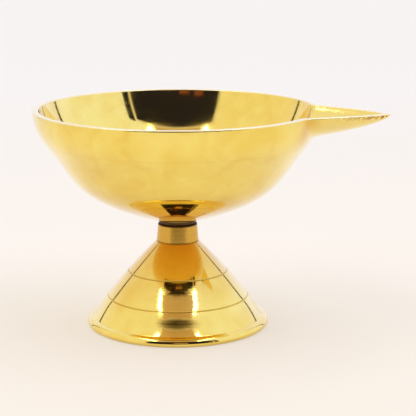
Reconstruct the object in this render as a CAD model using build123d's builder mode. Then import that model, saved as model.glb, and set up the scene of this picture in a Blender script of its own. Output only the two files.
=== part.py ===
from build123d import *
import os
from math import cos, hypot, radians, sin, sqrt

# A small spouted brass lamp for ghee or oil. A cast bowl with a leaf-shaped spout is screwed
# by a stud onto a hollow turned foot. Millimetres, +Z up, the spout points along +X, and the
# origin is on the axis at the base.

# Foot
foot_height = 28.9
neck_radius = 5.5
neck_flare = 0.4
neck_length = 5.0
cone_bulge = 0.32
cone_inset = 6.76
cone_rise = 9.55
swell_inset = 4.82
swell_rise = 6.87
waist_inset = 3.48
waist_rise = 4.72
ledge_width = 2.42
ledge_angle = radians(36.5)
flare_round = 1.0
flange_radius = 25.7
flange_thickness = 3.23
flange_round = 1.8
heel_round = 0.7
foot_wall = 2.3
foot_ring = 2.4
crown_thickness = 8.2
middle_groove = 0.606
lower_groove = 0.206
groove_radius = 0.28
neck_edge = 0.25

# Stud that joins the bowl to the foot
stud_radius = 2.95
stud_grip = 7.0
stud_chamfer = 0.5
thread_clearance = 0.05
socket_depth = 3.4
socket_end_gap = 0.3

# Bowl
joint_gap = 0.15
bowl_height = 32.35
rim_radius = 40.0
wall = 1.7
boss_radius = 5.16
boss_height = 1.0
under_radius = 16.1
under_rise = 4.3
belly_inset = 12.3
belly_drop = 21.2
flank_inset = 5.5
flank_drop = 12.2
band_inset = 0.55
band_drop = 4.2
mouth_angle = radians(14)
shoulder_inset = 2.9
shoulder_drop = 4.0
hollow_flank_inset = 6.75
hollow_flank_drop = 12.0
hollow_belly_inset = 14.3
hollow_belly_drop = 21.0
hollow_under_radius = 15.4
hollow_under_rise = 5.85
floor_cover = 1.6
floor_round = 6.0
lip_round = 0.2

# Spout
spout_reach = 19.0
spout_half_width = 13.7
spout_depth = 7.0
edge_power = 0.72
keel_power = 0.6
spout_lip = 1.5
spout_floor = 1.5
tip_length = 2.2
root_blend = 3.0
spout_overlap = 7.0
trough_overlap = 3.0
tip_share = 0.985
leaf_shares = (0.0, 0.2, 0.4, 0.6, 0.8, 0.93)

# Heights and places that follow from the sizes above
bowl_base = foot_height + joint_gap
rim_height = bowl_base + bowl_height
bore_radius = stud_radius + thread_clearance
socket_top = bowl_base + socket_depth
floor_height = socket_top + floor_cover
cone_top = foot_height - neck_length
crown_height = foot_height - neck_length - crown_thickness
root_x = sqrt(rim_radius**2 - spout_half_width**2)
tip_x = rim_radius + spout_reach


def leaf_section(x, start_x, end_x, half_width, depth):
    """One cross-section of a leaf-shaped trough, flat at the rim and round beneath."""
    left = (end_x - x) / (end_x - start_x)
    side = half_width * left**edge_power
    keel = depth * left**keel_power
    with BuildSketch(Plane.YZ.offset(x)) as section:
        with BuildLine():
            ThreePointArc((-side, rim_height), (0, rim_height - keel), (side, rim_height))
            Line((side, rim_height), (-side, rim_height))
        make_face()
    return section.sketch


def leaf_sections(inner_x, start_x, end_x, half_width, depth):
    """The sections of a leaf from inside the bowl to its tip."""
    shares = leaf_shares + (tip_share,)
    stations = [inner_x] + [start_x + share * (end_x - start_x) for share in shares]
    return [leaf_section(x, start_x, end_x, half_width, depth) for x in stations]


# Foot, a hollow turned cone with a neck, three incised lines and a flange
neck_base = (neck_radius + neck_flare, cone_top)
cone_end = (flange_radius - cone_inset, cone_rise)
swell_point = (flange_radius - swell_inset, swell_rise)
waist_point = (flange_radius - waist_inset, waist_rise)
ledge_point = (flange_radius - ledge_width, flange_thickness)
cone_length = hypot(cone_end[0] - neck_base[0], cone_end[1] - neck_base[1])
cone_normal = ((neck_base[1] - cone_end[1]) / cone_length, (cone_end[0] - neck_base[0]) / cone_length)
cone_middle = tuple(
    (neck_base[i] + cone_end[i]) / 2 + cone_bulge * cone_normal[i] for i in range(2)
)
crown_share = (crown_height - swell_rise) / (cone_top - swell_rise)
crown_radius = swell_point[0] + crown_share * (neck_base[0] - swell_point[0]) - foot_wall

with BuildPart() as foot:
    with BuildSketch(Plane.XZ) as foot_profile:
        with BuildLine():
            Line((bore_radius, foot_height), (neck_radius, foot_height))
            Line((neck_radius, foot_height), neck_base)
            cone = ThreePointArc(neck_base, cone_middle, cone_end)
            swell = Spline(
                cone_end,
                swell_point,
                waist_point,
                ledge_point,
                tangents=[cone % 1, (sin(ledge_angle), -cos(ledge_angle))],
            )
            Polyline(
                ledge_point,
                (flange_radius, flange_thickness),
                (flange_radius, 0),
                (flange_radius - foot_ring, 0),
                (swell_point[0] - foot_wall, swell_rise),
                (crown_radius, crown_height),
                (bore_radius, crown_height),
                (bore_radius, foot_height),
            )
        make_face()
        fillet(foot_profile.vertices().group_by(Axis.Y)[1].sort_by(Axis.X)[-1], flange_round)
        fillet(foot_profile.vertices().group_by(Axis.Y)[2].sort_by(Axis.X)[0], flare_round)
        fillet(foot_profile.vertices().group_by(Axis.Y)[0].sort_by(Axis.X)[-1], heel_round)
    revolve(axis=Axis.Z)
    with BuildSketch(Plane.XZ):
        with Locations(cone @ 0, cone @ middle_groove, swell @ lower_groove):
            Circle(groove_radius)
    revolve(axis=Axis.Z, mode=Mode.SUBTRACT)
    neck_rim = foot.edges().filter_by(GeomType.CIRCLE).group_by(Axis.Z)[-1].sort_by(SortBy.RADIUS)[-1]
    chamfer(neck_rim, neck_edge)

# Stud, half of it in the neck and the rest in the bowl's boss
stud_bottom = foot_height - stud_grip
stud_top = socket_top - socket_end_gap

with BuildPart() as stud:
    with BuildSketch(Plane.XY.offset(stud_bottom)):
        Circle(stud_radius)
    extrude(amount=stud_top - stud_bottom)
    chamfer(stud.edges().filter_by(GeomType.CIRCLE), stud_chamfer)

# Bowl, turned outside and in, with the spout cast on and a boss beneath for the stud
boss_edge = (boss_radius, bowl_base + boss_height)
under_point = (under_radius, bowl_base + under_rise)
belly_point = (rim_radius - belly_inset, rim_height - belly_drop)
flank_point = (rim_radius - flank_inset, rim_height - flank_drop)
band_point = (rim_radius - band_inset, rim_height - band_drop)
rim_point = (rim_radius, rim_height)
underside_angle = radians(10)
lip_point = (rim_radius - wall, rim_height)
shoulder_point = (rim_radius - shoulder_inset, rim_height - shoulder_drop)
hollow_flank = (rim_radius - hollow_flank_inset, rim_height - hollow_flank_drop)
hollow_belly = (rim_radius - hollow_belly_inset, rim_height - hollow_belly_drop)
hollow_under = (hollow_under_radius, bowl_base + hollow_under_rise)
lowest_point = (boss_radius, boss_edge[1] + wall)
profile_plane = Plane(origin=(0, 0, 0), x_dir=(-1, 0, 0), z_dir=(0, 1, 0))

with BuildPart() as bowl:
    with BuildSketch(profile_plane):
        with BuildLine():
            Spline(
                boss_edge,
                under_point,
                belly_point,
                flank_point,
                band_point,
                rim_point,
                tangents=[(cos(underside_angle), sin(underside_angle)), (0, 1)],
            )
            Polyline(rim_point, (0, rim_height), (0, bowl_base), (boss_radius, bowl_base), boss_edge)
        make_face()
    revolve(axis=Axis.Z)
    loft(sections=leaf_sections(root_x - spout_overlap, root_x, tip_x, spout_half_width, spout_depth))
    root_edges = bowl.edges(Select.NEW).filter_by(lambda edge: edge.bounding_box().max.X < rim_radius)
    fillet(root_edges.sort_by(Axis.Z)[0], root_blend)

    with BuildSketch(profile_plane) as cavity:
        with BuildLine():
            Spline(
                lip_point,
                shoulder_point,
                hollow_flank,
                hollow_belly,
                hollow_under,
                lowest_point,
                tangents=[(-sin(mouth_angle), -cos(mouth_angle)), (-1, 0)],
            )
            Polyline(lowest_point, (0, lowest_point[1]), (0, rim_height), lip_point)
        make_face()
        with Locations((0, floor_height)):
            Rectangle(2 * rim_radius, bowl_height, align=(Align.CENTER, Align.MAX), mode=Mode.SUBTRACT)
        floor_corner = cavity.vertices().group_by(Axis.Y)[0].sort_by(Axis.X)[-1]
        fillet(floor_corner, floor_round)
    revolve(axis=Axis.Z, mode=Mode.SUBTRACT)
    loft(
        sections=leaf_sections(
            root_x - spout_overlap - trough_overlap,
            root_x,
            tip_x - tip_length,
            spout_half_width - spout_lip,
            spout_depth - spout_floor,
        ),
        mode=Mode.SUBTRACT,
    )
    with BuildSketch(Plane.XY.offset(bowl_base)):
        Circle(bore_radius)
    extrude(amount=socket_depth, mode=Mode.SUBTRACT)
    lip = bowl.faces().filter_by(Plane.XY).sort_by(Axis.Z)[-1]
    fillet(lip.edges(), lip_round)

pieces = {"foot": foot, "stud": stud, "bowl": bowl}
os.makedirs("parts", exist_ok=True)
for name, piece in pieces.items():
    piece.part.label = name
    export_step(piece.part, f"parts/{name}.step")
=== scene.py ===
import math

import bpy
import numpy as np
from mathutils import Matrix, Vector


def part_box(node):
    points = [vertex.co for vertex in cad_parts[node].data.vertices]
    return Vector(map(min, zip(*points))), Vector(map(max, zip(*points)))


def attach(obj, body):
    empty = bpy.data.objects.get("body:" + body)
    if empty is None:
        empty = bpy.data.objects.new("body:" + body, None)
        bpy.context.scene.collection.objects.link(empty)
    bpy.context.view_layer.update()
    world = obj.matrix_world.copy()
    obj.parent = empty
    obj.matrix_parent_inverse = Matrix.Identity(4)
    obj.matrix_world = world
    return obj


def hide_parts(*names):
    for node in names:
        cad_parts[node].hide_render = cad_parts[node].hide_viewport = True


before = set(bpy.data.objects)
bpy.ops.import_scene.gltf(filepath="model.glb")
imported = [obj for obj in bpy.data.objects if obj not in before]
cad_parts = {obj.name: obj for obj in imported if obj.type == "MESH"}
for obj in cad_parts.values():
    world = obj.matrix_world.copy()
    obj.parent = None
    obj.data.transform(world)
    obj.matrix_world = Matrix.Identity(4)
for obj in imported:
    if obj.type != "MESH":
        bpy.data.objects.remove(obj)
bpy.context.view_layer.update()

# Sizes in millimetres. The bowl's place comes from the frame, the rest repeats the lamp's own sizes.
MM = 0.001
BOWL_LOW, BOWL_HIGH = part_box("bowl")
_, FOOT_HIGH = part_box("foot")
STUD_LOW, STUD_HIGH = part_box("stud")
RIM_RADIUS = round(BOWL_HIGH.y / MM, 2)
RIM_HEIGHT = BOWL_HIGH.z / MM
BOWL_BASE = BOWL_LOW.z / MM
FOOT_HEIGHT = FOOT_HIGH.z / MM
FLANGE_RADIUS = FOOT_HIGH.x / MM
STUD_RADIUS = STUD_HIGH.x / MM

# Bowl
WALL = 1.7
BOSS_RADIUS = 5.16
BOSS_HEIGHT = 1.0
UNDERSIDE_ANGLE = math.radians(10)
UNDER_POINT = (16.1, BOWL_BASE + 4.3)
BELLY_POINT = (RIM_RADIUS - 12.3, RIM_HEIGHT - 21.2)
FLANK_POINT = (RIM_RADIUS - 5.5, RIM_HEIGHT - 12.2)
BAND_POINT = (RIM_RADIUS - 0.55, RIM_HEIGHT - 4.2)
INNER_ANGLE = math.radians(14)
INNER_SHOULDER = (RIM_RADIUS - 2.9, RIM_HEIGHT - 4.0)
INNER_FLANK = (RIM_RADIUS - 6.6, RIM_HEIGHT - 12.0)
INNER_BELLY = (RIM_RADIUS - 14.1, RIM_HEIGHT - 21.0)
INNER_UNDER = (15.4, BOWL_BASE + 5.85)
SOCKET_DEPTH = 3.4
FLOOR_COVER = 1.6
FLOOR_HEIGHT = BOWL_BASE + SOCKET_DEPTH + FLOOR_COVER
FLOOR_BLEND = 1.6
LIP_ROUND = 0.25
LIP_SHARE = 0.15
EDGE_EASE = 0.08

# Spout
SPOUT_REACH = 19.0
SPOUT_HALF_WIDTH = 13.7
SPOUT_DEPTH = 7.0
EDGE_POWER = 0.72
KEEL_POWER = 0.6
SPOUT_LIP = 1.5
SPOUT_FLOOR = 1.5
TIP_LENGTH = 2.2
ROOT_BLEND = 2.2
TROUGH_BLEND = 0.7
ROOT_X = math.sqrt(RIM_RADIUS**2 - SPOUT_HALF_WIDTH**2)
TIP_X = RIM_RADIUS + SPOUT_REACH

# Foot
NECK_RADIUS = 5.5
NECK_FLARE = 0.4
NECK_LENGTH = 5.0
NECK_EDGE = 0.25
CONE_BULGE = 0.32
CONE_END = (FLANGE_RADIUS - 6.76, 9.55)
SWELL_POINT = (FLANGE_RADIUS - 4.82, 6.87)
WAIST_POINT = (FLANGE_RADIUS - 3.45, 4.72)
FLANGE_THICKNESS = 2.4
LEDGE_POINT = (FLANGE_RADIUS - 1.81, FLANGE_THICKNESS)
LEDGE_ANGLE = math.radians(38.5)
FLARE_ROUND = 0.3
FLANGE_ROUND = 1.6
HEEL_ROUND = 0.7
FOOT_WALL = 2.3
FOOT_RING = 2.4
CROWN_THICKNESS = 8.2
MIDDLE_GROOVE = 0.606
LOWER_GROOVE = 0.181
GROOVE_HALF_WIDTH = 0.24
GROOVE_DEPTH = 0.16
THREAD_CLEARANCE = 0.05
BORE_RADIUS = STUD_RADIUS + THREAD_CLEARANCE

# Marks of making and use, and places of painted shade, dark reflection and highlight
# Top of the painted shade under the bowl
SHADE_TOP = RIM_HEIGHT - 18.0
FOOT_SHADE = 0.85
FOOT_SHADE_LOW = 8.0
SPOUT_FADE = 3.0
LIP_MARK_START = 0.4
LIP_MARK_SLOPE = 2.0
# Height of the painted dark reflection on the flange's edge
EDGE_DARKENING_HEIGHT = 0.9
# Height of the painted gap shade on the boss
JOINT_SHADE_HEIGHT = 0.8
TURNED_LINE_DROP = 8.6
TURNED_LINE_WIDTH = 0.16
PIT_START_X = 44.0
PIT_END_X = 58.0
PIT_DROP = 0.6
PIT_WIDTH = 0.5
STAIN_PLACE = (-15.2, -30.8, 49.0)
STAIN_WIDTH = 5.5
# Place and width of the painted shade at the spout's root
ROOT_SHADE_PLACE = (38.4, -13.2)
ROOT_SHADE_WIDTH = 2.4

# Stud's thread
THREAD_PITCH = 1.0
THREAD_DEPTH = 0.5
THREAD_STEEPNESS = 1.3
THREAD_CREST = 0.1
STUD_CHAMFER = 0.5

# Mesh fineness
SPOUT_SECTOR = math.radians(34)
SPOUT_STEPS = 260
ROUND_STEPS = 260
FOOT_STEPS = 320
STUD_STEPS = 96
PROFILE_POINTS = 4000
FLOOR_POINTS = 200
PLAIN_RINGS = 90
SPOUT_RINGS = 110
LIP_STEPS = 6
NECK_POINTS = 30
CONE_POINTS = 400
UPPER_POINTS = 220
GROOVE_POINTS = 9
BEND_POINTS = 13
RINGS_PER_TURN = 14
LEAF_SECTOR = math.radians(60)
LEAF_TRIES = 40
SHARP_ANGLE = math.radians(32)


def clamped_spline(points, first, last, count):
    """Points along a smooth cubic through the given points, with the directions at its two ends."""
    p = np.array(points, float)
    h = np.linalg.norm(np.diff(p, axis=0), axis=1)
    n = len(p)
    a = np.eye(n)
    b = np.zeros_like(p)
    b[0] = first
    b[-1] = last
    for i in range(1, n - 1):
        a[i, i - 1] = 1 / h[i - 1]
        a[i, i] = 2 / h[i - 1] + 2 / h[i]
        a[i, i + 1] = 1 / h[i]
        b[i] = 3 * ((p[i] - p[i - 1]) / h[i - 1] ** 2 + (p[i + 1] - p[i]) / h[i] ** 2)
    m = np.linalg.solve(a, b)
    knots = np.concatenate([[0], np.cumsum(h)])
    t = np.linspace(0, knots[-1], count)
    k = np.clip(np.searchsorted(knots, t, side="right") - 1, 0, n - 2)
    s = ((t - knots[k]) / h[k])[:, None]
    step = h[k][:, None]
    return (
        (1 + 2 * s) * (1 - s) ** 2 * p[k]
        + s * (1 - s) ** 2 * step * m[k]
        + s**2 * (3 - 2 * s) * p[k + 1]
        + s**2 * (s - 1) * step * m[k + 1]
    )


def smooth_max(a, b, width):
    """The larger of two values, rounded where they cross."""
    near = np.maximum(width - np.abs(a - b), 0) / width
    return np.maximum(a, b) + near**2 * width / 4


def arc_through(start, middle, end, count):
    """Points along the circular arc through three points of a profile."""
    ax, ay = start
    bx, by = middle
    cx, cy = end
    d = 2 * (ax * (by - cy) + bx * (cy - ay) + cx * (ay - by))
    a2, b2, c2 = ax**2 + ay**2, bx**2 + by**2, cx**2 + cy**2
    ux = (a2 * (by - cy) + b2 * (cy - ay) + c2 * (ay - by)) / d
    uy = (a2 * (cx - bx) + b2 * (ax - cx) + c2 * (bx - ax)) / d
    first = math.atan2(ay - uy, ax - ux)
    last = math.atan2(cy - uy, cx - ux)
    if last - first > math.pi:
        last -= 2 * math.pi
    if first - last > math.pi:
        last += 2 * math.pi
    radius = math.hypot(ax - ux, ay - uy)
    angle = np.linspace(first, last, count)
    return np.c_[ux + radius * np.cos(angle), uy + radius * np.sin(angle)]


def bend(centre, radius, first, last):
    """Points along a small arc between two angles."""
    angle = np.linspace(first, last, BEND_POINTS)
    return np.c_[centre[0] + radius * np.cos(angle), centre[1] + radius * np.sin(angle)]


def path_length(curve):
    return np.linalg.norm(np.diff(curve, axis=0), axis=1).sum()


def lengths_along(curve):
    """Length along a profile curve up to each of its points."""
    return np.concatenate([[0], np.cumsum(np.linalg.norm(np.diff(curve, axis=0), axis=1))])


def points_at(curve, marks):
    """Points of a profile curve at given lengths along it."""
    lengths = lengths_along(curve)
    return np.c_[np.interp(marks, lengths, curve[:, 0]), np.interp(marks, lengths, curve[:, 1])]


def bell(distance, width):
    """One at no distance, falling off smoothly over a width."""
    return np.exp(-((distance / width) ** 2))


def ring_mesh(name, rings, first=None, last=None):
    """A mesh object from rings of points in millimetres, closed by a point at either end."""
    count = len(rings[0])
    verts = np.concatenate(rings)
    faces = []
    for i in range(len(rings) - 1):
        low = i * count
        for j in range(count):
            k = (j + 1) % count
            faces.append((low + j, low + k, low + count + k, low + count + j))
    if first is not None:
        verts = np.concatenate([verts, [first]])
        pole = len(verts) - 1
        faces += [(pole, (j + 1) % count, j) for j in range(count)]
    if last is not None:
        verts = np.concatenate([verts, [last]])
        pole = len(verts) - 1
        low = (len(rings) - 1) * count
        faces += [(low + j, low + (j + 1) % count, pole) for j in range(count)]
    mesh = bpy.data.meshes.new(name)
    mesh.from_pydata((verts * MM).tolist(), [], faces)
    mesh.validate()
    mesh.shade_smooth()
    mesh.set_sharp_from_angle(angle=SHARP_ANGLE)
    obj = bpy.data.objects.new(name, mesh)
    bpy.context.collection.objects.link(obj)
    return obj


def paint(obj, name, values):
    """A named value at each point of a mesh, for its material to use as a mask."""
    attribute = obj.data.attributes.new(name, "FLOAT", "POINT")
    attribute.data.foreach_set("value", np.asarray(values, np.float32))


def points_of(obj):
    """The points of a mesh in millimetres."""
    flat = np.empty(3 * len(obj.data.vertices))
    obj.data.vertices.foreach_get("co", flat)
    return flat.reshape(-1, 3) / MM


def turned_rings(profile, angles):
    """Rings of a surface of revolution from (radius, height) points."""
    c, s = np.cos(angles), np.sin(angles)
    return [np.c_[r * c, r * s, np.full_like(angles, z)] for r, z in profile]


# Spout form
def leaf_reach(angles, height, end_x, half_width, depth):
    """Distance from the axis to the leaf's surface at a height, in each direction."""
    aside = np.clip(np.abs(angles), 0, LEAF_SECTOR)
    slope = np.tan(aside)
    low = np.zeros_like(angles)
    high = np.full_like(angles, end_x)
    for _ in range(LEAF_TRIES):
        x = (low + high) / 2
        left = (end_x - x) / (end_x - ROOT_X)
        side = half_width * left**EDGE_POWER
        keel = depth * left**KEEL_POWER
        y = x * slope
        radius = (side**2 + keel**2) / (2 * keel)
        drop = radius - np.sqrt(np.maximum(radius**2 - y**2, 0))
        inside = (y <= side) & (height >= RIM_HEIGHT - keel + drop)
        low = np.where(inside, x, low)
        high = np.where(inside, high, x)
    return low / np.cos(aside)


def spouted_ring(radius, height, angles, end_x, half_width, depth, blend):
    """A ring of the bowl that runs out into the spout."""
    reach = leaf_reach(angles, min(height, RIM_HEIGHT), end_x, half_width, depth)
    r = smooth_max(np.full_like(angles, radius), reach, blend)
    return np.c_[r * np.cos(angles), r * np.sin(angles), np.full_like(angles, height)]


def bowl_angles():
    """Directions round the bowl, closer together at the spout."""
    spout = np.linspace(-SPOUT_SECTOR, SPOUT_SECTOR, SPOUT_STEPS, endpoint=False)
    rest = np.linspace(SPOUT_SECTOR, 2 * math.pi - SPOUT_SECTOR, ROUND_STEPS, endpoint=False)
    angles = np.concatenate([spout, rest])
    return (angles + math.pi) % (2 * math.pi) - math.pi


def bowl_object():
    """The bowl with its spout, boss and socket, from one run of rings outside and in."""
    angles = bowl_angles()
    boss_edge = (BOSS_RADIUS, BOWL_BASE + BOSS_HEIGHT)
    outer = clamped_spline(
        [boss_edge, UNDER_POINT, BELLY_POINT, FLANK_POINT, BAND_POINT, (RIM_RADIUS, RIM_HEIGHT)],
        (math.cos(UNDERSIDE_ANGLE), math.sin(UNDERSIDE_ANGLE)),
        (0, 1),
        PROFILE_POINTS,
    )
    lip_point = (RIM_RADIUS - WALL, RIM_HEIGHT)
    lowest_point = (BOSS_RADIUS, boss_edge[1] + WALL)
    inner = clamped_spline(
        [lip_point, INNER_SHOULDER, INNER_FLANK, INNER_BELLY, INNER_UNDER, lowest_point],
        (-math.sin(INNER_ANGLE), -math.cos(INNER_ANGLE)),
        (-1, 0),
        PROFILE_POINTS,
    )[::-1]
    floor_radii = np.linspace(0, inner[0, 0], FLOOR_POINTS, endpoint=False)
    inner = np.concatenate([np.c_[floor_radii, np.full(FLOOR_POINTS, inner[0, 1])], inner])
    inner[:, 1] = smooth_max(inner[:, 1], np.full(len(inner), FLOOR_HEIGHT), FLOOR_BLEND)

    # Boss and socket beneath, then the outside up to where the spout begins
    boss = [
        (BORE_RADIUS, BOWL_BASE + SOCKET_DEPTH),
        (BORE_RADIUS, BOWL_BASE + EDGE_EASE),
        (BORE_RADIUS + EDGE_EASE, BOWL_BASE),
        (BOSS_RADIUS - EDGE_EASE, BOWL_BASE),
        (BOSS_RADIUS, BOWL_BASE + EDGE_EASE),
        (BOSS_RADIUS, BOWL_BASE + JOINT_SHADE_HEIGHT),
    ]
    spout_low = RIM_HEIGHT - 2 * SPOUT_DEPTH
    wall_top = RIM_HEIGHT - LIP_ROUND
    plain = outer[outer[:, 1] < spout_low]
    rings = turned_rings(boss + [tuple(p) for p in plain[:: len(plain) // PLAIN_RINGS]], angles)
    for height in np.linspace(spout_low, wall_top, SPOUT_RINGS):
        radius = np.interp(height, outer[:, 1], outer[:, 0])
        rings.append(
            spouted_ring(radius, height, angles, TIP_X, SPOUT_HALF_WIDTH, SPOUT_DEPTH, ROOT_BLEND)
        )

    # Flat lip with eased edges
    outer_count = len(rings) * len(angles)
    outline = rings[-1]
    inner_radius = np.interp(wall_top, inner[:, 1], inner[:, 0])
    trough = (TIP_X - TIP_LENGTH, SPOUT_HALF_WIDTH - SPOUT_LIP, SPOUT_DEPTH - SPOUT_FLOOR, TROUGH_BLEND)
    mouth = spouted_ring(inner_radius, wall_top, angles, *trough)
    quarter = np.linspace(0, math.pi / 2, LIP_STEPS)[1:]
    for near, far, bends in ((outline, mouth, quarter), (mouth, outline, quarter[::-1])):
        for angle in bends:
            ring = near + (far - near) * LIP_SHARE * (1 - math.cos(angle))
            ring[:, 2] = wall_top + LIP_ROUND * math.sin(angle)
            rings.append(ring)

    # Inside, with the trough of the spout, down to the floor
    for height in np.linspace(wall_top, spout_low, SPOUT_RINGS):
        radius = np.interp(height, inner[:, 1], inner[:, 0])
        rings.append(spouted_ring(radius, height, angles, *trough))
    deep = inner[inner[:, 1] < spout_low][::-1]
    marks = np.linspace(0, lengths_along(deep)[-1], PLAIN_RINGS)[1:-1]
    rings += turned_rings(points_at(deep, marks), angles)
    socket_end = (0, 0, BOWL_BASE + SOCKET_DEPTH)
    floor_centre = (0, 0, FLOOR_HEIGHT)
    obj = ring_mesh("lamp_bowl", rings, socket_end, floor_centre)

    # Masks for the material
    points = points_of(obj)
    x, y, z = points.T
    radius = np.hypot(x, y)
    outside = np.arange(len(x)) < outer_count
    shell = np.interp(z, outer[:, 1], outer[:, 0])
    hollow = np.interp(z, inner[:, 1], inner[:, 0])
    leaf = np.where(outside, radius - shell, radius - hollow)
    paint(obj, "spout", np.clip(leaf / SPOUT_FADE, 0, 1) * (x > 0) * (z > spout_low))
    # Painted shade of the gap between bowl and neck, with some tarnish, on the boss's lower wall
    below = np.clip((BOWL_BASE + JOINT_SHADE_HEIGHT - z) / EDGE_EASE + 1, 0, 1)
    paint(obj, "joint", (radius < BOSS_RADIUS + EDGE_EASE) * below)
    # Paler towards the top of the lip: wear, and a painted highlight
    paint(obj, "lip", np.clip(LIP_MARK_START + LIP_MARK_SLOPE * (z - wall_top) / LIP_ROUND, 0, 1))
    line = bell(z - RIM_HEIGHT + TURNED_LINE_DROP, TURNED_LINE_WIDTH)
    paint(obj, "line", line * outside * (leaf < EDGE_EASE))
    # Painted shade: the outside darker towards the bowl's underside, the boss left out
    shade = np.clip((SHADE_TOP - z) / (SHADE_TOP - BOWL_BASE), 0, 1)
    paint(obj, "shade", outside * shade * np.clip((radius - BOSS_RADIUS) / BOSS_HEIGHT, 0, 1))
    along_lip = np.clip((x - PIT_START_X) / (PIT_END_X - PIT_START_X), 0, 1) * (x < PIT_END_X)
    below_lip = bell(z - RIM_HEIGHT + PIT_DROP, PIT_WIDTH)
    paint(obj, "pits", along_lip * below_lip * outside * (y < 0))
    from_stain = np.linalg.norm(points - STAIN_PLACE, axis=1)
    paint(obj, "stain", bell(from_stain, STAIN_WIDTH) * outside)
    # Painted shade at the spout's root, where it meets the bowl
    from_root = np.hypot(x - ROOT_SHADE_PLACE[0], y - ROOT_SHADE_PLACE[1])
    paint(obj, "root_shade", bell(from_root, ROOT_SHADE_WIDTH) * outside)
    return obj


def grooved(curve, places):
    """A profile curve with small rounded grooves cut across it at places along its length."""
    length = lengths_along(curve)[-1]
    marks = np.linspace(0, length, UPPER_POINTS)
    extra = [place + GROOVE_HALF_WIDTH * np.linspace(-1, 1, GROOVE_POINTS) for place in places]
    marks = np.unique(np.clip(np.concatenate([marks, *extra]), 0, length))
    points = points_at(curve, marks)
    along = np.gradient(points, axis=0)
    along /= np.linalg.norm(along, axis=1)[:, None]
    inward = np.c_[along[:, 1], -along[:, 0]]
    hollow = np.zeros(len(marks))
    for place in places:
        offset = np.abs(marks - place) / GROOVE_HALF_WIDTH
        hollow += np.maximum(1 - offset**2, 0)
    return points + inward * GROOVE_DEPTH * hollow[:, None], hollow


def foot_object():
    """The hollow turned foot with its neck, incised lines and flange."""
    cone_top = FOOT_HEIGHT - NECK_LENGTH
    neck_base = np.array([NECK_RADIUS + NECK_FLARE, cone_top])
    cone_end = np.array(CONE_END)
    chord = cone_end - neck_base
    normal = np.array([-chord[1], chord[0]]) / np.linalg.norm(chord)
    cone_middle = (neck_base + cone_end) / 2 + CONE_BULGE * normal
    crown_height = cone_top - CROWN_THICKNESS
    crown_share = (crown_height - SWELL_POINT[1]) / (cone_top - SWELL_POINT[1])
    crown_radius = SWELL_POINT[0] + crown_share * (neck_base[0] - SWELL_POINT[0]) - FOOT_WALL

    # Neck, cone and swell, with the incised lines
    neck_top = np.array([NECK_RADIUS, FOOT_HEIGHT - NECK_EDGE])
    neck = neck_top + np.linspace(0, 1, NECK_POINTS)[:, None] * (neck_base - neck_top)
    cone = arc_through(neck_base, cone_middle, cone_end, CONE_POINTS)
    along_cone = (cone[-1] - cone[-2]) / np.linalg.norm(cone[-1] - cone[-2])
    along_ledge = np.array([math.sin(LEDGE_ANGLE), -math.cos(LEDGE_ANGLE)])
    swell = clamped_spline(
        [CONE_END, SWELL_POINT, WAIST_POINT, LEDGE_POINT], along_cone, along_ledge, CONE_POINTS
    )
    neck_length = path_length(neck)
    cone_length = path_length(cone)
    swell_length = path_length(swell)
    setback = FLARE_ROUND * math.tan((math.pi / 2 - LEDGE_ANGLE) / 2)
    swell = swell[: 1 - round(CONE_POINTS * setback / swell_length)]
    lines = [
        neck_length,
        neck_length + MIDDLE_GROOVE * cone_length,
        neck_length + cone_length + LOWER_GROOVE * swell_length,
    ]
    upper, hollow = grooved(np.concatenate([neck[:-1], cone[:-1], swell]), lines)

    # Flare, rounded flange and the hollow beneath
    flare_centre = (LEDGE_POINT[0] + setback, FLANGE_THICKNESS + FLARE_ROUND)
    flare = bend(flare_centre, FLARE_ROUND, math.pi + LEDGE_ANGLE, 1.5 * math.pi)
    shoulder_centre = (FLANGE_RADIUS - FLANGE_ROUND, FLANGE_THICKNESS - FLANGE_ROUND)
    shoulder = bend(shoulder_centre, FLANGE_ROUND, math.pi / 2, 0)
    heel = bend((FLANGE_RADIUS - HEEL_ROUND, HEEL_ROUND), HEEL_ROUND, 0, -math.pi / 2)
    inside = [
        (FLANGE_RADIUS - FOOT_RING, 0),
        (SWELL_POINT[0] - FOOT_WALL, SWELL_POINT[1]),
        (crown_radius, crown_height),
        (BORE_RADIUS, crown_height),
        (BORE_RADIUS, FOOT_HEIGHT),
    ]
    rim = [(NECK_RADIUS - NECK_EDGE, FOOT_HEIGHT)]
    profile = np.concatenate([inside[-1:], rim, upper, flare[1:], shoulder, heel, inside])
    angles = np.linspace(0, 2 * math.pi, FOOT_STEPS, endpoint=False)
    obj = ring_mesh("lamp_foot", turned_rings(profile[::-1], angles))

    # Masks for the material
    groove = np.zeros(len(profile))
    groove[2 : 2 + len(hollow)] = hollow
    bare = np.zeros(len(profile))
    bare[-len(inside) :] = 1
    paint(obj, "groove", np.repeat(groove[::-1], len(angles)))
    paint(obj, "bare", np.repeat(bare[::-1], len(angles)))
    z = points_of(obj)[:, 2]
    outside = np.repeat(1 - bare[::-1], len(angles))
    paint(obj, "neck", outside * np.clip((z - cone_top) / EDGE_EASE, 0, 1))
    # Painted shade: the foot's outside darker towards the neck, under the bowl
    rise = np.clip((z - FOOT_SHADE_LOW) / (cone_top - FOOT_SHADE_LOW), 0, 1)
    paint(obj, "shade", FOOT_SHADE * outside * rise)
    # Painted dark reflection of the floor's contact shade, on the flange's outer edge
    paint(obj, "edge", outside * np.clip((EDGE_DARKENING_HEIGHT - z) / EDGE_DARKENING_HEIGHT, 0, 1))
    # Painted shade of the gap under the bowl, with some tarnish, on the neck's top edge
    paint(obj, "joint", outside * np.clip((z - FOOT_HEIGHT + 2 * NECK_EDGE) / NECK_EDGE, 0, 1))
    return obj


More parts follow.
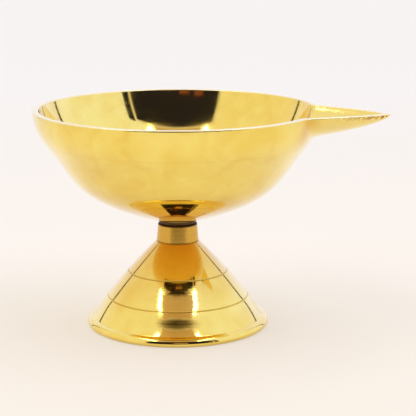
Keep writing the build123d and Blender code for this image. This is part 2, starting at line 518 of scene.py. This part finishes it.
def stud_object():
    """A stud with a rolled right-hand thread, chamfered at both ends."""
    low, high = STUD_LOW.z / MM, STUD_HIGH.z / MM
    angles = np.linspace(0, 2 * math.pi, STUD_STEPS, endpoint=False)
    rings = []
    for height in np.linspace(low, high, round((high - low) / THREAD_PITCH * RINGS_PER_TURN)):
        turns = height / THREAD_PITCH - angles / (2 * math.pi)
        flank = np.abs(2 * (turns - np.floor(turns)) - 1)
        groove = np.clip(THREAD_STEEPNESS * flank - THREAD_CREST, 0, 1)
        radius = STUD_RADIUS - THREAD_DEPTH * groove
        taper = STUD_RADIUS - STUD_CHAMFER + min(height - low, high - height)
        radius = np.minimum(radius, taper)
        rings.append(np.c_[radius * np.cos(angles), radius * np.sin(angles), np.full_like(angles, height)])
    return ring_mesh("lamp_stud", rings, (0, 0, low), (0, 0, high))


# Colours of the brass and its marks, and of painted shade, dark reflection and highlight
LIGHT_BRASS = (0.945, 0.755, 0.165)
DEEP_BRASS = (0.905, 0.67, 0.105)
STAINED_BRASS = (0.85, 0.55, 0.06)
# Painted shade under the bowl and at the spout's root
SHADED_BRASS = (0.74, 0.395, 0.025)
# Near black: painted shade of the gap between bowl and neck, with some tarnish
GAP_SHADE_AND_TARNISH = (0.11, 0.06, 0.025)
PIT_BROWN = (0.36, 0.10, 0.03)
CAST_BRASS = (0.90, 0.72, 0.20)
# Pale lip: wear, and a painted highlight
PALE_LIP_WEAR_AND_HIGHLIGHT = (0.96, 0.85, 0.48)
DULL_BRASS = (0.50, 0.35, 0.13)
GROOVE_BROWN = (0.36, 0.21, 0.05)
NECK_BROWN = (0.62, 0.365, 0.08)
# Painted dark reflection on the flange's edge
FLANGE_EDGE_DARK_REFLECTION = (0.56, 0.335, 0.095)
POLISH_RELIEF = 0.00002
LACQUER_ROUGHNESS = 0.05
POLISH = 0.05
STUD_ROUGHNESS = 0.3

# Strength of each mark in colour, roughness and relief
BOWL_STREAKS = 0.12
FOOT_STREAKS = 0.3
CAST_SHARE = 0.6
CAST_RELIEF = 0.5
LIP_PALE_SHARE = 0.6
LIP_ROUGHNESS = 0.28
PIT_ROUGHNESS = 0.4
PIT_RELIEF = 0.4
ROOT_SHADE_SHARE = 0.7
LINE_SHARE = 0.3
JOINT_ROUGHNESS = 0.4
NECK_ROUGHNESS = 0.14
NECK_RELIEF = 0.5
EDGE_DARKENING_SHARE = 0.8
GROOVE_SHARE = 0.5
GROOVE_ROUGHNESS = 0.25
BARE_RELIEF = 4.0
BLOTCH_ROUGHNESS = 0.07

# Noises, each as its scale per metre and its detail
CLOUD_NOISE = (120, 8)
BLOTCH_NOISE = (130, 8)
BLOTCH_SWIRL = 0.9
WAVE_NOISE = (95, 2)
STREAK_NOISE = (1, 3)
STREAK_STRETCH = (28, 28, 3200)
NECK_NOISE = (1, 4)
NECK_STRETCH = (60, 60, 4200)
CAST_NOISE = (900, 4)
PIT_NOISE = (1000, 2)
STAIN_NOISE = (260, 5)
BARE_NOISE = (700, 5)
GRIME_NOISE = (420, 4)

# Ranges of the noises, and what they are stretched to
CLOUD_RANGE = (0.35, 0.65)
BLOTCH_RANGE = (0.46, 0.72, 0.0, 0.5)
BLOTCH_ROUGH_RANGE = (0.4, 0.8)
STREAK_ROUGH_RANGE = (0.45, 0.75, 0.0, 0.05)
CAST_ROUGH_RANGE = (0.3, 0.7, 0.0, 0.06)
PIT_RANGE = (0.46, 0.52)
STAIN_RANGE = (0.35, 0.65, 0.25, 0.75)
NECK_RANGE = (0.35, 0.65, 0.35, 0.95)
BARE_ROUGH_RANGE = (0.3, 0.7, 0.25, 0.5)
GRIME_RANGE = (0.4, 0.7, 0.0, 0.8)


# Materials
def add_node(tree, kind, **sockets):
    """A new node with some of its sockets set, an underscore standing for a space in their names."""
    node = tree.nodes.new(kind)
    for name, value in sockets.items():
        node.inputs[name.replace("_", " ")].default_value = value
    return node


def noise(tree, scale, detail, stretch=(1, 1, 1), distortion=0.0):
    """Noise in the piece's own space. The scale is per metre and the stretch is for each axis."""
    place = add_node(tree, "ShaderNodeTexCoord")
    mapping = add_node(tree, "ShaderNodeMapping", Scale=stretch)
    texture = add_node(tree, "ShaderNodeTexNoise", Scale=scale, Detail=detail, Distortion=distortion)
    tree.links.new(place.outputs["Object"], mapping.inputs["Vector"])
    tree.links.new(mapping.outputs["Vector"], texture.inputs["Vector"])
    return texture.outputs["Fac"]


def ranged(tree, value, low, high, to_low=0.0, to_high=1.0):
    """A value stretched from one range to another and held there."""
    node = add_node(
        tree, "ShaderNodeMapRange", From_Min=low, From_Max=high, To_Min=to_low, To_Max=to_high
    )
    tree.links.new(value, node.inputs["Value"])
    return node.outputs["Result"]


def combined(tree, operation, first, second):
    """Arithmetic on two values, the second of them a number or another value."""
    node = add_node(tree, "ShaderNodeMath")
    node.operation = operation
    tree.links.new(first, node.inputs[0])
    if isinstance(second, float):
        node.inputs[1].default_value = second
    else:
        tree.links.new(second, node.inputs[1])
    return node.outputs["Value"]


def added(tree, first, second):
    return combined(tree, "ADD", first, second)


def scaled(tree, value, factor):
    return combined(tree, "MULTIPLY", value, factor)


def mask(tree, name):
    """A value painted on the mesh's points."""
    node = add_node(tree, "ShaderNodeAttribute")
    node.attribute_name = name
    return node.outputs["Fac"]


def blended(tree, factor, first, second):
    """One colour laid over another by a factor."""
    node = add_node(tree, "ShaderNodeMix")
    node.data_type = "RGBA"
    tree.links.new(factor, node.inputs["Factor"])
    for socket, color in ((node.inputs[6], first), (node.inputs[7], second)):
        if isinstance(color, tuple):
            socket.default_value = (*color, 1)
        else:
            tree.links.new(color, socket)
    return node.outputs[2]


def brass(name, light, deep, polish, marks):
    """Polished brass with cloudy tone, handling stains and fine turning marks."""
    material = bpy.data.materials.new(name)
    material.use_nodes = True
    tree = material.node_tree
    cloud = noise(tree, *CLOUD_NOISE)
    color = blended(tree, ranged(tree, cloud, *CLOUD_RANGE), light, deep)
    blotch = noise(tree, *BLOTCH_NOISE, distortion=BLOTCH_SWIRL)
    color = blended(tree, ranged(tree, blotch, *BLOTCH_RANGE), color, STAINED_BRASS)
    streaks = noise(tree, *STREAK_NOISE, stretch=STREAK_STRETCH)
    rough = ranged(tree, blotch, *BLOTCH_ROUGH_RANGE, polish, polish + BLOTCH_ROUGHNESS)
    rough = added(tree, rough, ranged(tree, streaks, *STREAK_ROUGH_RANGE))
    wave = noise(tree, *WAVE_NOISE)
    height = added(tree, wave, scaled(tree, streaks, marks))
    shader = tree.nodes["Principled BSDF"]
    shader.inputs["Metallic"].default_value = 1
    return material, color, rough, height


def lacquered(material, bare):
    """Clear lacquer over the brass, gone where one of the masks shows."""
    tree = material.node_tree
    gone = bare[0]
    for place in bare[1:]:
        gone = combined(tree, "MAXIMUM", gone, place)
    shader = tree.nodes["Principled BSDF"]
    shader.inputs["Coat Roughness"].default_value = LACQUER_ROUGHNESS
    tree.links.new(ranged(tree, gone, 0, 1, 1, 0), shader.inputs["Coat Weight"])


def finished(material, color, rough, height):
    """Join colour, roughness and relief to the material's shader."""
    tree = material.node_tree
    shader = tree.nodes["Principled BSDF"]
    bump = add_node(tree, "ShaderNodeBump", Strength=1.0, Distance=POLISH_RELIEF)
    tree.links.new(height, bump.inputs["Height"])
    tree.links.new(color, shader.inputs["Base Color"])
    tree.links.new(rough, shader.inputs["Roughness"])
    tree.links.new(bump.outputs["Normal"], shader.inputs["Normal"])
    return material


def bowl_brass():
    """Lacquered brass, cast and grainy in the spout, worn and with a painted highlight on the lip, with
    painted shade under the bowl and at the spout's root, and near black at the joint: painted shade of the
    gap, with some tarnish.
    """
    material, color, rough, height = brass("bowl_brass", LIGHT_BRASS, DEEP_BRASS, POLISH, BOWL_STREAKS)
    tree = material.node_tree
    grain = noise(tree, *CAST_NOISE)
    spout = mask(tree, "spout")
    color = blended(tree, scaled(tree, spout, CAST_SHARE), color, CAST_BRASS)
    rough = added(tree, rough, scaled(tree, spout, ranged(tree, grain, *CAST_ROUGH_RANGE)))
    lip = mask(tree, "lip")
    # Pale lip: wear, and a painted highlight
    color = blended(tree, scaled(tree, lip, LIP_PALE_SHARE), color, PALE_LIP_WEAR_AND_HIGHLIGHT)
    rough = added(tree, rough, scaled(tree, lip, LIP_ROUGHNESS))
    pits = ranged(tree, noise(tree, *PIT_NOISE), *PIT_RANGE)
    pits = scaled(tree, pits, mask(tree, "pits"))
    color = blended(tree, pits, color, PIT_BROWN)
    # Painted shade at the spout's root
    color = blended(tree, scaled(tree, mask(tree, "root_shade"), ROOT_SHADE_SHARE), color, SHADED_BRASS)
    stain = ranged(tree, noise(tree, *STAIN_NOISE), *STAIN_RANGE)
    color = blended(tree, scaled(tree, mask(tree, "stain"), stain), color, STAINED_BRASS)
    color = blended(tree, scaled(tree, mask(tree, "line"), LINE_SHARE), color, STAINED_BRASS)
    # Painted shade under the bowl
    color = blended(tree, mask(tree, "shade"), color, SHADED_BRASS)
    # Near black at the joint: painted shade of the gap, with some tarnish
    joint = mask(tree, "joint")
    color = blended(tree, joint, color, GAP_SHADE_AND_TARNISH)
    rough = added(tree, rough, scaled(tree, joint, JOINT_ROUGHNESS))
    rough = added(tree, rough, scaled(tree, pits, PIT_ROUGHNESS))
    height = added(tree, height, scaled(tree, scaled(tree, grain, spout), CAST_RELIEF))
    height = combined(tree, "SUBTRACT", height, scaled(tree, pits, PIT_RELIEF))
    lacquered(material, (joint, pits))
    return finished(material, color, rough, height)


def foot_brass():
    """Lacquered brass, worn bare on the neck and in the grooves, dull in the hollow, with painted shade
    towards the neck, a painted dark reflection on the flange's edge, and near black at the neck's top:
    painted shade of the gap, with some tarnish.
    """
    material, color, rough, height = brass("foot_brass", LIGHT_BRASS, DEEP_BRASS, POLISH, FOOT_STREAKS)
    tree = material.node_tree
    # Painted shade towards the neck, under the bowl
    color = blended(tree, mask(tree, "shade"), color, SHADED_BRASS)
    neck = mask(tree, "neck")
    lines = noise(tree, *NECK_NOISE, stretch=NECK_STRETCH)
    worn = scaled(tree, neck, ranged(tree, lines, *NECK_RANGE))
    color = blended(tree, worn, color, NECK_BROWN)
    rough = added(tree, rough, scaled(tree, neck, NECK_ROUGHNESS))
    # Painted dark reflection on the flange's edge
    color = blended(tree, scaled(tree, mask(tree, "edge"), EDGE_DARKENING_SHARE), color, FLANGE_EDGE_DARK_REFLECTION)
    height = added(tree, height, scaled(tree, scaled(tree, lines, neck), NECK_RELIEF))
    groove = mask(tree, "groove")
    color = blended(tree, scaled(tree, groove, GROOVE_SHARE), color, GROOVE_BROWN)
    rough = added(tree, rough, scaled(tree, groove, GROOVE_ROUGHNESS))
    bare = mask(tree, "bare")
    grain = noise(tree, *BARE_NOISE)
    color = blended(tree, bare, color, DULL_BRASS)
    rough = added(tree, rough, scaled(tree, bare, ranged(tree, grain, *BARE_ROUGH_RANGE)))
    height = added(tree, height, scaled(tree, scaled(tree, grain, bare), BARE_RELIEF))
    # Near black at the joint: painted shade of the gap, with some tarnish
    joint = mask(tree, "joint")
    color = blended(tree, joint, color, GAP_SHADE_AND_TARNISH)
    rough = added(tree, rough, scaled(tree, joint, JOINT_ROUGHNESS))
    lacquered(material, (neck, groove, bare, joint))
    return finished(material, color, rough, height)


def stud_brass():
    """Dull brass with grime in it."""
    material, color, rough, height = brass(
        "stud_brass", DULL_BRASS, DULL_BRASS, STUD_ROUGHNESS, FOOT_STREAKS
    )
    tree = material.node_tree
    grime = ranged(tree, noise(tree, *GRIME_NOISE), *GRIME_RANGE)
    color = blended(tree, grime, color, GROOVE_BROWN)
    return finished(material, color, rough, height)


bowl = bowl_object()
foot = foot_object()
stud = stud_object()
bowl.data.materials.append(bowl_brass())
foot.data.materials.append(foot_brass())
stud.data.materials.append(stud_brass())
for piece, body in ((bowl, "bowl"), (foot, "foot"), (stud, "stud")):
    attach(piece, body)
    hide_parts(body)

# Camera, at the photograph's place
CAMERA_AZIMUTH = math.radians(10.5)
CAMERA_DISTANCE = 402.3
CAMERA_HEIGHT = 120.8
CAMERA_SIDE = 8.56
CAMERA_PITCH = math.radians(12.31)
PHOTO_WIDTH = 416
FOCAL_PIXELS = 1464.7
SENSOR_WIDTH = 36.0

turn = Matrix.Rotation(CAMERA_AZIMUTH, 4, "Z")
camera = bpy.data.cameras.new("camera")
camera.sensor_width = SENSOR_WIDTH
camera.lens = FOCAL_PIXELS / PHOTO_WIDTH * SENSOR_WIDTH
camera_object = bpy.data.objects.new("camera", camera)
bpy.context.collection.objects.link(camera_object)
tilt = Matrix.Rotation(math.pi / 2 - CAMERA_PITCH, 4, "X")
place = Matrix.Translation(Vector((CAMERA_SIDE, -CAMERA_DISTANCE, CAMERA_HEIGHT)) * MM)
camera_object.matrix_world = turn @ place @ tilt
bpy.context.scene.camera = camera_object

# A white photo tent, open at the camera's side, on a pale floor
OPENING_NEAR = 375.0
OPENING_FAR = 3000.0
OPENING_TOP = 3730.0
OPENING_LEFT = -0.811
OPENING_RIGHT = 1.293
HEM_LEFT = (-0.80, -0.775)
HEM_RIGHT = (0.99, 1.06)
HEM_LOW = 0.62
HEM_LIFT = 6.0
WARM_PLACES = ((-0.42, -0.27, 0.068, 0.1), (-0.18, -0.02, 0.076, 0.09), (0.16, 0.30, 0.07, 0.078))
TABLE_SPOT = (-0.08, 0.24, 0.03, 0.052)
HEM_MIDDLE = (-0.07, 0.07, 0.6, 1.0)
CEILING_BACK = -950.0
CEILING_HALF_WIDTH = 1485.0
CORNER_PLACES = ((-325.0, 285.0), (318.0, 302.0))
CORNER_WIDTH = 21.0
CORNER_HEIGHT = 380.0
STRIP_PLACE = 243.0
STRIP_HEIGHT = 540.0
STRIP_FRONT = -372.0
STRIP_BACK = 75.0
STRIP_WIDTH = 44.0
STRIP_RADIANCE = 9.0
FLOOR_HALF = 3000.0
FLOOR_COLOR = (0.95, 0.92, 0.87)
# Darker and warmer near the lamp: painted shade and painted warm light from the brass
FLOOR_NEAR_WARM_SHADE = (0.955, 0.855, 0.68)
FLOOR_FAR = (0.99, 0.955, 0.89)
FLOOR_FADE = (-120.0, 500.0)
FLOOR_SHARE = 0.55
LEFT_TENT = (0.96, 0.90, 0.84)
RIGHT_TENT = (0.99, 1.05, 1.45)
STRIP_COLOR = (1.0, 0.98, 0.95)
ROOM_COLOR = (0.021, 0.019, 0.035)
CEILING_COLOR = (0.84, 0.66, 0.55)
HEM_COLOR = (0.97, 0.90, 0.80)
WARM_COLOR = (0.22, 0.07, 0.04)
TABLE_COLOR = (0.60, 0.40, 0.20)
SEAM_COLOR = (0.07, 0.04, 0.02)
MATT_ROUGHNESS = 0.9
CORNER_BASE = 0.2


def stage_sheet(name, corners, material):
    """A flat four-cornered sheet of the set, in the camera's heading and in millimetres."""
    mesh = bpy.data.meshes.new(name)
    mesh.from_pydata([Vector(corner) * MM for corner in corners], [], [(0, 1, 2, 3)])
    mesh.materials.append(material)
    obj = bpy.data.objects.new(name, mesh)
    bpy.context.collection.objects.link(obj)
    obj.matrix_world = turn
    return obj


def matt(name, color):
    """Paper or cloth without any shine."""
    material = bpy.data.materials.new(name)
    material.use_nodes = True
    shader = material.node_tree.nodes["Principled BSDF"]
    shader.inputs["Base Color"].default_value = (*color, 1)
    shader.inputs["Roughness"].default_value = MATT_ROUGHNESS
    shader.inputs["Specular IOR Level"].default_value = 0
    return material


def upright(name, left, right, height, material):
    """A sheet standing on the floor between two places."""
    low = [(*left, CORNER_BASE), (*right, CORNER_BASE)]
    high = [(*right, height), (*left, height)]
    return stage_sheet(name, low + high, material)


def leaning(name, left, right, low, high, lift, material):
    """A sheet on the plane of the opening, which leans away from the lamp. Its sides are slopes from
    the lamp's axis, and its ends are shares of the opening's height."""
    corners = []
    for slope, share in ((left, low), (right, low), (right, high), (left, high)):
        distance = OPENING_NEAR + share * (OPENING_FAR - OPENING_NEAR) - lift
        corners.append((slope * distance, -distance, share * OPENING_TOP + lift))
    return stage_sheet(name, corners, material)


def floor_paper():
    """Pale paper, seen by the camera and in the metal as partly plain white, so its shadow is faint. That
    white is darker and warmer towards the front, a painted shade and painted warm light from the brass.
    """
    material = matt("floor", FLOOR_COLOR)
    tree = material.node_tree
    path = add_node(tree, "ShaderNodeLightPath")
    white = add_node(tree, "ShaderNodeEmission")
    place = add_node(tree, "ShaderNodeTexCoord")
    parts = add_node(tree, "ShaderNodeSeparateXYZ")
    tree.links.new(place.outputs["Object"], parts.inputs["Vector"])
    # Darker and warmer towards the front: painted shade and painted warm light from the brass
    depth = ranged(tree, parts.outputs["Y"], FLOOR_FADE[0] * MM, FLOOR_FADE[1] * MM)
    tree.links.new(blended(tree, depth, FLOOR_NEAR_WARM_SHADE, FLOOR_FAR), white.inputs["Color"])
    mix = add_node(tree, "ShaderNodeMixShader")
    seen = combined(tree, "MAXIMUM", path.outputs["Is Camera Ray"], path.outputs["Is Glossy Ray"])
    seen = combined(tree, "MAXIMUM", seen, path.outputs["Is Transmission Ray"])
    tree.links.new(combined(tree, "MULTIPLY", seen, FLOOR_SHARE), mix.inputs["Fac"])
    tree.links.new(tree.nodes["Principled BSDF"].outputs["BSDF"], mix.inputs[1])
    tree.links.new(white.outputs["Emission"], mix.inputs[2])
    tree.links.new(mix.outputs["Shader"], tree.nodes["Material Output"].inputs["Surface"])
    return material


def tent_light():
    """The tent's white cloth, a little warmer at the left than at the right."""
    world = bpy.data.worlds.new("tent")
    world.use_nodes = True
    tree = world.node_tree
    place = add_node(tree, "ShaderNodeTexCoord")
    across = add_node(tree, "ShaderNodeVectorMath")
    across.operation = "DOT_PRODUCT"
    across.inputs[1].default_value = (math.cos(CAMERA_AZIMUTH), math.sin(CAMERA_AZIMUTH), 0)
    tree.links.new(place.outputs["Generated"], across.inputs[0])
    side = ranged(tree, across.outputs["Value"], -1.0, 1.0)
    color = blended(tree, side, LEFT_TENT, RIGHT_TENT)
    tree.links.new(color, tree.nodes["Background"].inputs["Color"])
    return world


bpy.context.scene.world = tent_light()

edge = FLOOR_HALF
floor_corners = [(-edge, -edge, 0), (edge, -edge, 0), (edge, edge, 0), (-edge, edge, 0)]
stage_sheet("floor", floor_corners, floor_paper())

dark = matt("dark_room", ROOM_COLOR)
pale = matt("tent_ceiling", CEILING_COLOR)
cloth = matt("tent_hem", HEM_COLOR)
warm = matt("warm_room", WARM_COLOR)
table = matt("front_table", TABLE_COLOR)
seam = matt("tent_seam", SEAM_COLOR)
top = OPENING_TOP
wide = CEILING_HALF_WIDTH
ceiling_front = [(-wide, -OPENING_FAR, top), (wide, -OPENING_FAR, top)]
ceiling_back = [(wide, CEILING_BACK, top), (-wide, CEILING_BACK, top)]
hidden = [
    leaning("tent_opening", OPENING_LEFT, OPENING_RIGHT, 0, 1, 0, dark),
    leaning("tent_hem_left", *HEM_LEFT, 0, HEM_LOW, HEM_LIFT, cloth),
    leaning("tent_hem_right", *HEM_RIGHT, 0, HEM_LOW, HEM_LIFT, cloth),
    leaning("tent_hem_top", OPENING_LEFT, HEM_RIGHT[1], HEM_LOW, 1, HEM_LIFT, cloth),
    stage_sheet("tent_ceiling", ceiling_front + ceiling_back, pale),
    leaning("front_table", *TABLE_SPOT, HEM_LIFT, table),
    leaning("tent_hem_middle", *HEM_MIDDLE, 2 * HEM_LIFT, cloth),
]
for number, spot in enumerate(WARM_PLACES):
    hidden.append(leaning(f"warm_room_{number}", *spot, HEM_LIFT, warm))
for number, (x, y) in enumerate(CORNER_PLACES):
    across = Vector((y, -x)).normalized() * CORNER_WIDTH / 2
    left = (x - across.x, y - across.y)
    right = (x + across.x, y + across.y)
    hidden.append(upright(f"tent_corner_{number}", left, right, CORNER_HEIGHT, seam))
for number, x in enumerate((-STRIP_PLACE, STRIP_PLACE)):
    light = bpy.data.lights.new(f"strip_{number}", "AREA")
    light.shape = "RECTANGLE"
    light.size = STRIP_WIDTH * MM
    light.size_y = (STRIP_BACK - STRIP_FRONT) * MM
    light.energy = STRIP_RADIANCE * math.pi * light.size * light.size_y
    light.color = STRIP_COLOR
    strip = bpy.data.objects.new(f"strip_{number}", light)
    bpy.context.collection.objects.link(strip)
    lean = Matrix.Rotation(math.atan2(x, STRIP_HEIGHT), 4, "Y")
    middle = Vector((x, (STRIP_FRONT + STRIP_BACK) / 2, STRIP_HEIGHT)) * MM
    strip.matrix_world = turn @ Matrix.Translation(middle) @ lean
    hidden.append(strip)
for obj in hidden:
    obj.visible_camera = False

bpy.context.scene.view_settings.view_transform = "Standard"
